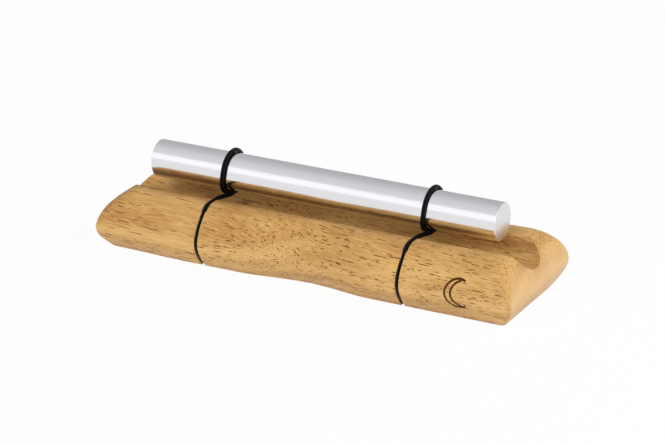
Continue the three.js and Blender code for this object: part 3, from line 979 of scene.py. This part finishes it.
def braided_elastic():
    """Black braid over a rubber core: two sets of yarns that pass over and under each other."""
    material, tree, surface = new_material("elastic_black")
    uv = node(tree, "UVMap", uv_map="along").outputs[0]
    axes = node(tree, "SeparateXYZ", {0: uv}).outputs
    round_count = maths(tree, "MULTIPLY", axes[0], YARNS)
    picks = maths(tree, "MULTIPLY", axes[1], 1 / YARN_PITCH)
    right = maths(tree, "ADD", round_count, picks)
    left = maths(tree, "SUBTRACT", round_count, picks)

    def yarn(place):
        off = maths(tree, "SUBTRACT", maths(tree, "FRACT", place), 0.5)
        square = maths(tree, "MULTIPLY", off, off)
        return maths(tree, "SUBTRACT", 1.0, maths(tree, "MULTIPLY", square, 4.0))

    count = maths(tree, "ADD", maths(tree, "FLOOR", right), maths(tree, "FLOOR", left))
    over = maths(tree, "FLOORED_MODULO", count, 2.0)
    over = maths(tree, "GREATER_THAN", over, 0.5)
    sockets = {0: over, 2: yarn(right), 3: yarn(left)}
    height = node(tree, "Mix", sockets, data_type="FLOAT").outputs[0]
    # The yarns are darker towards their edges: painted shade in the gaps between them
    tint = blend_colours(tree, height, linear(*YARN_GAP_SHADE), linear(*YARN_BLACK))
    tree.links.new(tint, surface.inputs["Base Color"])
    surface.inputs["Roughness"].default_value = 0.42
    surface.inputs["Specular IOR Level"].default_value = 0.12
    bump(tree, surface, height, 1.0, YARN_DEPTH)
    return material


wood = waxed_wood()
burnt = burnt_wood()
bar_metal = polished_metal(
    "bar_polish", Rings=0.0, Tint=(0.91, 0.91, 0.93, 1), Smooth=0.10, Rough=0.17
)
bar_end_metal = polished_metal(
    "bar_end_polish", Rings=1.0, Tint=(0.92, 0.92, 0.94, 1), Smooth=0.28, Rough=0.40
)
elastic_black = braided_elastic()


# Making the pieces

SMOOTH_ANGLE = math.radians(35)
TRIANGLES_FROM = 5

block = shaped_blank()
block.data.materials.append(wood)
blank = copy_of(block, "blank")
cutters = [trough_cutter()]
for arc in (OUTER_ARC, INNER_ARC):
    ribbon = sign_cutter(blank, arc)
    ribbon.data.materials.append(burnt)
    cutters.append(ribbon)
cutters += [pocket_cutter(kerf) for kerf in KERFS.values()]
# The right kerf goes first, which leaves a closed mesh
for kerf in reversed(KERFS.values()):
    cutters.append(kerf_cutter(blank, kerf, KERF_WIDTH))
    cutters.append(kerf_cutter(blank, kerf, SEAT_WIDTH, RIDGE_EDGE + SEAT_REACH))
bpy.data.objects.remove(blank)
for cutter in cutters:
    carve(block, cutter)
edit(block)
bpy.ops.mesh.remove_doubles(threshold=HAIR)
done()
add_modifier(block, "TRIANGULATE", ngon_method="BEAUTY", min_vertices=TRIANGLES_FROM)

bar = turned_bar()

for side, kerf in KERFS.items():
    turn = cord_tube(side + "_cord_turn", cord_turn(kerf), 1)
    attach(turn, "sling")
    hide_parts(side + "_bar_loop")
    for end, front in (("front", 1), ("rear", -1)):
        run = cord_tube(side + "_" + end + "_cord_run", cord_run(kerf, front), RUN_SMOOTHING)
        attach(run, "block")
        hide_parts(side + "_" + end + "_run")
        strand = cord_tube(side + "_" + end + "_cord_strand", cord_strand(kerf, front), 1)
        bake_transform(strand)
        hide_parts(side + "_" + end + "_strand")

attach(block, "block")
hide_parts("resonator_block")
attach(bar, "bar")
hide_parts("chime_bar")

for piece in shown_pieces():
    select_only(piece)
    bpy.ops.object.shade_smooth_by_angle(angle=SMOOTH_ANGLE)


# Stage

TARGET = Vector((1.503, 0, 24.051)) * MM
CAMERA_TURN = math.radians(27.453)
CAMERA_RISE = math.radians(21.809)
CAMERA_DISTANCE = 1546.57 * MM
LENS_LENGTH = 171.98
SENSOR_WIDTH = 36
CLIP_START = 0.05
FLOOR_SIZE = 8
FLOOR_DROP = 0.05 * MM
FLOOR_GREY = (0.88, 0.88, 0.88, 1)
WHITE = (1, 1, 1, 1)
WALL_TINT = (1, 0.97, 1.01)
RIGHT_WALL = (0.78, 0.88)
RIGHT_WALL_GAIN = 2.0
LAMP_DISTANCE = 1.6


def direction(turn, rise):
    """The way to a place turned to the right of the front and raised."""
    return Vector(
        (
            math.sin(turn) * math.cos(rise),
            -math.cos(turn) * math.cos(rise),
            math.sin(rise),
        )
    )


back = direction(CAMERA_TURN, CAMERA_RISE)
lens = bpy.data.cameras.new("photo_view")
lens.lens = LENS_LENGTH
lens.sensor_width = SENSOR_WIDTH
lens.sensor_fit = "HORIZONTAL"
lens.clip_start = CLIP_START
camera = bpy.data.objects.new("photo_view", lens)
camera.location = TARGET + back * CAMERA_DISTANCE
camera.rotation_mode = "QUATERNION"
camera.rotation_quaternion = (-back).to_track_quat("-Z", "Y")
bpy.context.scene.collection.objects.link(camera)
bpy.context.scene.camera = camera


def pale_floor():
    """Catches a faint shadow, mirrors as a pale sheet, and shows from above only."""
    material, tree, surface = new_material("pale_floor")
    surface.inputs["Base Color"].default_value = FLOOR_GREY
    surface.inputs["Roughness"].default_value = 0.9
    path = node(tree, "LightPath").outputs
    share = maths(tree, "MULTIPLY", path["Is Camera Ray"], 0.96)
    share = maths(tree, "MULTIPLY_ADD", path["Is Glossy Ray"], 0.9, share)
    level = maths(tree, "MULTIPLY_ADD", path["Is Glossy Ray"], -0.14, 1.0)
    sheet = node(tree, "Emission", {"Color": WHITE, "Strength": level})
    above = node(tree, "MixShader", {0: share, 1: surface.outputs[0], 2: sheet.outputs[0]})
    below = node(tree, "NewGeometry").outputs["Backfacing"]
    clear = node(tree, "BsdfTransparent")
    shown = node(tree, "MixShader", {0: below, 1: above.outputs[0], 2: clear.outputs[0]})
    tree.links.new(shown.outputs[0], tree.nodes["Material Output"].inputs["Surface"])
    return material


bpy.ops.mesh.primitive_plane_add(size=FLOOR_SIZE, location=(0, 0, -FLOOR_DROP))
floor = new_piece("studio_floor")
settle(floor)
floor.data.materials.append(pale_floor())

world = bpy.data.worlds.new("studio")
world.use_nodes = True
sky = world.node_tree
sky.nodes.clear()
way = node(sky, "TexCoord").outputs["Generated"]
axes = node(sky, "SeparateXYZ", {0: way}).outputs
angle = maths(sky, "ARCTAN2", axes[1], axes[2])
angle = maths(sky, "MULTIPLY_ADD", angle, 1 / (2 * math.pi), 0.5)


def wall_ramp(levels):
    """Grey levels of the walls by their turn about X from overhead, in degrees, -90 in front."""
    ramp = node(sky, "ValToRGB", {0: angle})
    stops = ramp.color_ramp.elements
    for degrees, level in levels.items():
        position = degrees / 360 + 0.5
        if degrees == -180:
            stop = stops[0]
        elif degrees == 180:
            stop = stops[-1]
        else:
            stop = stops.new(position)
        stop.position = position
        stop.color = (*(share * level for share in WALL_TINT), 1)
    return ramp.outputs[0]


# What polished metal mirrors, and what lights the rest
MIRRORED = {
    -180: 0.80,
    -100: 0.87,
    -88: 0.86,
    -78: 0.92,
    -72: 1.12,
    -45: 1.08,
    -40: 0.80,
    -35: 0.77,
    -20: 0.73,
    -6: 0.70,
    10: 0.63,
    30: 0.55,
    70: 0.47,
    100: 0.47,
    180: 0.80,
}
SPREAD = {
    -180: 0.9,
    -90: 0.55,
    -45: 0.2,
    0: 0.15,
    180: 0.2,
}
path = node(sky, "LightPath").outputs
soft = node(sky, "Background", {"Color": wall_ramp(SPREAD), "Strength": 1.0})
# The right wall is brighter in mirrors, for the glint on the rim of the bar's end
right_wall = smooth_range(sky, axes[0], *RIGHT_WALL, 1.0, RIGHT_WALL_GAIN)
sharp = node(sky, "Background", {"Color": wall_ramp(MIRRORED), "Strength": right_wall})
backdrop = node(sky, "Background", {"Color": WHITE, "Strength": 1.0})
mirrored = {0: path["Is Glossy Ray"], 1: soft.outputs[0], 2: sharp.outputs[0]}
walls = node(sky, "MixShader", mirrored)
seen = {0: path["Is Camera Ray"], 1: walls.outputs[0], 2: backdrop.outputs[0]}
studio = node(sky, "MixShader", seen)
out = sky.nodes.new("ShaderNodeOutputWorld")
sky.links.new(studio.outputs[0], out.inputs["Surface"])
bpy.context.scene.world = world


def softbox(name, turn, rise, width, height, watts):
    """A soft lamp, placed by its turn and rise in degrees. Polished metal doesn't show it."""
    toward = direction(math.radians(turn), math.radians(rise))
    light = bpy.data.lights.new(name, "AREA")
    light.shape = "RECTANGLE"
    light.size, light.size_y = width, height
    light.energy = watts
    lamp = bpy.data.objects.new(name, light)
    lamp.location = LAMP_DISTANCE * toward
    lamp.rotation_mode = "QUATERNION"
    lamp.rotation_quaternion = (-toward).to_track_quat("-Z", "Y")
    lamp.visible_glossy = False
    bpy.context.scene.collection.objects.link(lamp)


softbox("front_softbox", -15, 48, 1.2, 0.5, 7)
softbox("low_softbox", -28, 6, 1.4, 0.25, 10.5)
softbox("side_softbox", 102, 36, 0.8, 0.8, 22)

bpy.context.scene.view_settings.view_transform = "Standard"
